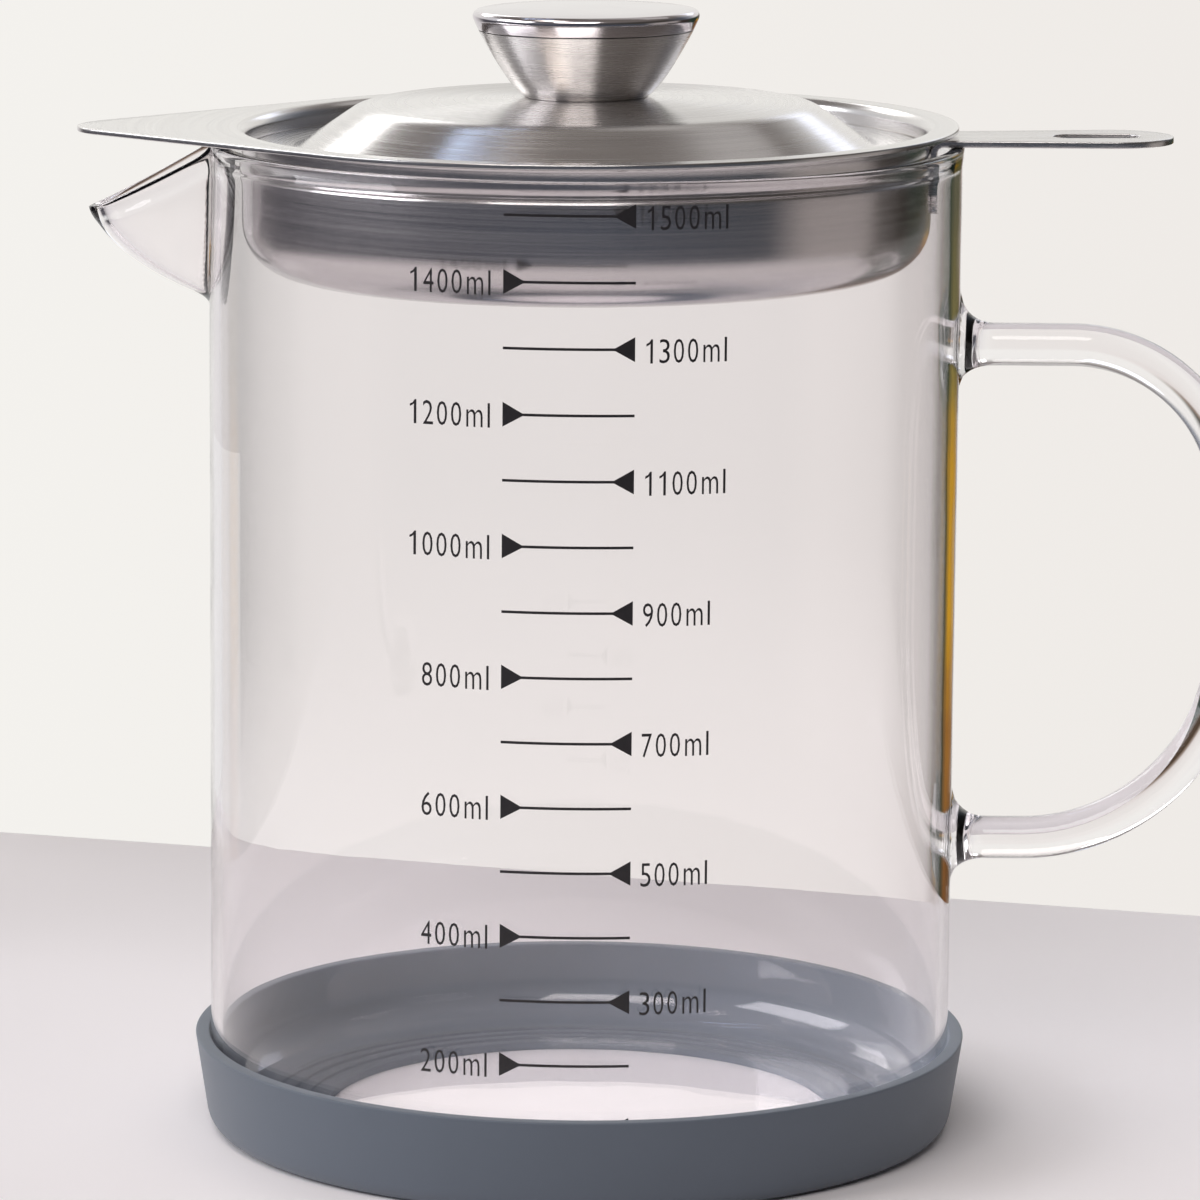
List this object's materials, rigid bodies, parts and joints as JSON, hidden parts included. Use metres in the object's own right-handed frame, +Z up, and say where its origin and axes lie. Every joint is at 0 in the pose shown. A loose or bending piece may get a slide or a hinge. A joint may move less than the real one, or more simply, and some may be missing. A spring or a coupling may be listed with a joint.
{
  "type": "oil strainer pot",
  "caption": "Glass oil jug with a drawn spout and rod handle, a silicone boot, a lift-out steel strainer with a beak over the spout, and a loose steel lid with a flared knob.",
  "frame": {"origin": "on the jug's axis at the surface the pot stands on, in the middle of the boot's underside", "axes": "+Z up along the jug's axis, -X towards the spout, +X towards both handles, -Y is the side with the printed scale"},
  "size_m": [0.184, 0.1214, 0.1767],
  "materials": {
    "silicone": "matt slate-grey silicone",
    "glass": "clear borosilicate glass",
    "ink": "black fired ink",
    "steel": "brushed stainless steel",
    "mesh_steel": "woven stainless wire",
    "polished_steel": "polished stainless steel",
    "screw_steel": "plain stainless steel"
  },
  "bodies": {
    "base": {"silicone_base": "silicone"},
    "jug": {"glass_body": "glass", "glass_handle": "glass", "scale_marks": "ink"},
    "strainer": {"strainer_basket": "steel", "strainer_mesh": "mesh_steel", "mesh_ring": "steel", "strainer_handle": "steel"},
    "lid": {"lid_shell": "steel", "knob_body": "steel", "knob_cap": "polished_steel", "knob_insert": "screw_steel", "knob_screw": "screw_steel", "knob_washer": "screw_steel"}
  },
  "joints": [
    {"name": "jug_lift", "type": "slide", "parent": "base", "child": "jug", "axis": [0, 0, 1], "range_m": [0, 0.03]},
    {"name": "strainer_lift", "type": "slide", "parent": "jug", "child": "strainer", "axis": [0, 0, 1], "range_m": [0, 0.05]},
    {"name": "lid_lift", "type": "slide", "parent": "strainer", "child": "lid", "axis": [0, 0, 1], "range_m": [0, 0.04]}
  ]
}
